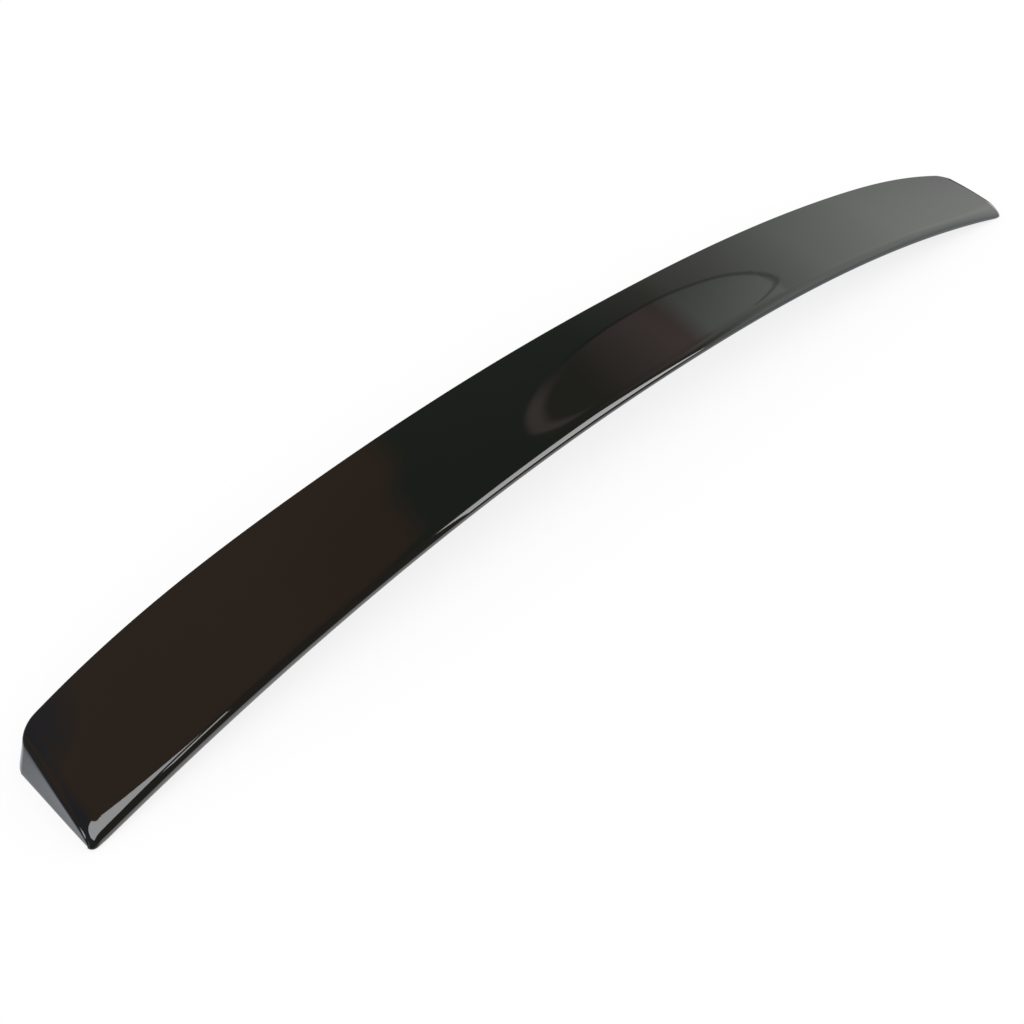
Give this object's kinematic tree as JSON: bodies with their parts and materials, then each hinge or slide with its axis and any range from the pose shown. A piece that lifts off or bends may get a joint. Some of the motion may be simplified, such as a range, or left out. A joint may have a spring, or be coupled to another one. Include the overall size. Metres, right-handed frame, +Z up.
{
  "type": "roof spoiler",
  "caption": "Slim crowned roof spoiler moulded as one gloss black shell: thin swept trailing lip, leaning end walls and an open, ribbed underside with a bonding flange.",
  "frame": {"origin": "middle of the span and of the depth, on the plane of the two end feet", "axes": "+X along the span to the right end seen from behind the car, +Y forward to the roof edge, -Y to the trailing lip, +Z up"},
  "size_m": [1.1518, 0.1314, 0.0675],
  "materials": {
    "gloss_black": "clear-coated gloss black ABS"
  },
  "bodies": {
    "root": {"spoiler_blade": "gloss_black"}
  },
  "joints": []
}
